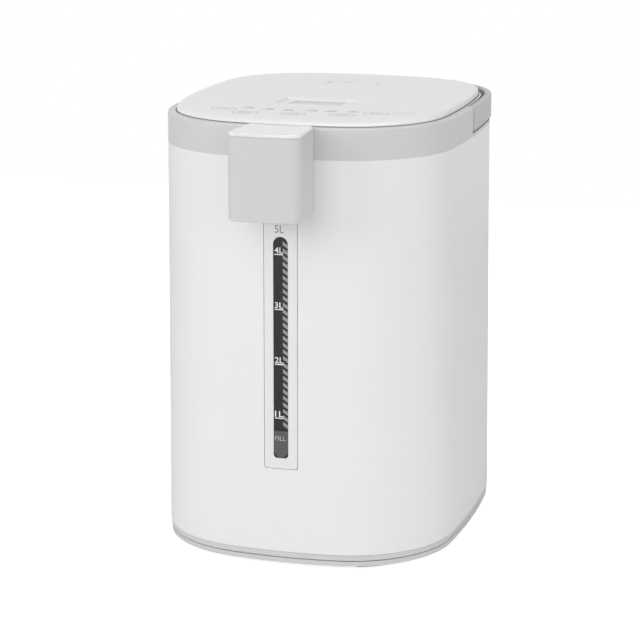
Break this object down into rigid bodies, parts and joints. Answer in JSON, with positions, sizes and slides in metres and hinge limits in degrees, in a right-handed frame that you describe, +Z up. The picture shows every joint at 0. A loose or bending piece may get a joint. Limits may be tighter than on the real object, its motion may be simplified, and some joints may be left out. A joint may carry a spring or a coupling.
{
  "type": "electric thermo pot",
  "caption": "Squarish electric thermo pot with front spout, upright level gauge, hinged lid with lever, touch panel, rear carry handle and internal pump.",
  "frame": {"origin": "centre of the bounding box on the floor plane, between the feet", "axes": "+Z up, the spout and the gauge face -Y, +X is to the right of someone who looks at the spout"},
  "size_m": [0.2236, 0.31, 0.33],
  "materials": {
    "casing_white": "white moulded casing, soft satin gloss",
    "collar_grey": "light grey moulded plastic, satin",
    "handle_grey": "grey moulded plastic, satin",
    "feet_grey": "grey moulded plastic, matt",
    "lid_white": "warm white moulded plastic, satin",
    "cap_gloss": "glossy white moulded cap",
    "pad_rubber": "dark rubber pads",
    "silicone": "translucent food-grade silicone",
    "window_clear": "smoky clear gauge window",
    "tube_clear": "clear gauge tube",
    "gauge_dark": "dark backing behind the gauge tube",
    "steel": "stainless steel, brushed",
    "liner_plastic": "pale grey heat-proof plastic",
    "heater": "heater jacket with mica inside",
    "felt": "heat insulation felt",
    "pump_plastic": "dark glass-filled plastic",
    "motor_steel": "zinc-plated motor can",
    "magnet": "ferrite magnet",
    "board_green": "circuit board with its parts",
    "brass": "brass contact pins",
    "socket_black": "black socket housing",
    "screw_steel": "zinc-plated screws"
  },
  "bodies": {
    "root": {"band_bolts": "steel", "band_heater": "heater", "base_heater": "heater", "base_screws": "screw_steel", "base_tray": "collar_grey", "board_screws": "screw_steel", "collar": "collar_grey", "control_board": "board_green", "control_cover": "lid_white", "corner_feet": "feet_grey", "delivery_hose": "silicone", "foot_pads": "pad_rubber", "gauge_carrier": "gauge_dark", "gauge_elbow": "silicone", "gauge_strip": "casing_white", "gauge_tube": "tube_clear", "gauge_window": "window_clear", "handle_pins": "steel", "inlet_magnets": "magnet", "inlet_pins": "brass", "inner_tank": "steel", "lid_pin": "steel", "lid_springs": "steel", "outer_casing": "casing_white", "power_board": "board_green", "power_inlet": "socket_black", "pump_body": "pump_plastic", "pump_cover": "pump_plastic", "pump_motor": "motor_steel", "service_plate": "feet_grey", "spout_cap": "cap_gloss", "spout_cover": "collar_grey", "spout_nozzle": "pump_plastic", "spout_pipe": "pump_plastic", "stop_valve": "pump_plastic", "suction_hose": "silicone", "tank_retainer": "steel", "tank_sleeve": "felt", "thermal_fuse": "heater", "thermistor": "heater", "tie_rods": "steel", "touch_springs": "steel", "trim_ring": "collar_grey"},
    "lid": {"lid_cover": "lid_white", "lid_liner": "liner_plastic", "lid_seal": "silicone", "lid_insulation": "felt", "steam_duct": "liner_plastic", "steam_cap": "lid_white", "lever_pin": "steel"},
    "lever": {"lid_lever": "lid_white"},
    "latch": {"lid_latch": "liner_plastic"},
    "handle": {"carry_handle": "handle_grey"},
    "impeller": {"impeller": "pump_plastic"},
    "rotor": {"drive_rotor": "pump_plastic", "drive_magnets": "magnet"},
    "stop_ball": {"stop_ball": "steel"},
    "steam_ball": {"steam_ball": "steel"}
  },
  "joints": [
    {"name": "lid_hinge", "type": "hinge", "parent": "root", "child": "lid", "pos_m": [0, 0.1257, 0.318], "axis": [-1, 0, 0], "range_deg": [0, 80]},
    {"name": "handle_swing", "type": "hinge", "parent": "root", "child": "handle", "pos_m": [0, 0.0207, 0.3214], "axis": [1, 0, 0], "range_deg": [0, 90]},
    {"name": "lever_turn", "type": "hinge", "parent": "lid", "child": "lever", "pos_m": [0, -0.0359, 0.3266], "axis": [1, 0, 0], "range_deg": [0, 22], "stiffness_Nm_per_rad": 0.08},
    {"name": "latch_slide", "type": "slide", "parent": "lid", "child": "latch", "axis": [0, 1, 0], "range_m": [0, 0.003]},
    {"name": "impeller_spin", "type": "hinge", "parent": "root", "child": "impeller", "pos_m": [0, -0.0383, 0.0534], "axis": [0, 0, 1], "continuous": true},
    {"name": "rotor_spin", "type": "hinge", "parent": "root", "child": "rotor", "pos_m": [0, -0.0383, 0.04], "axis": [0, 0, 1], "continuous": true},
    {"name": "stop_ball_rise", "type": "slide", "parent": "root", "child": "stop_ball", "axis": [0, 0, 1], "range_m": [0, 0.014]},
    {"name": "steam_ball_rise", "type": "slide", "parent": "lid", "child": "steam_ball", "axis": [0, 0, 1], "range_m": [0, 0.012]}
  ],
  "couplings": [
    {"joint": "latch_slide", "follows": "lever_turn", "m_per_rad": 0.007032},
    {"joint": "impeller_spin", "follows": "rotor_spin", "ratio": 1}
  ]
}
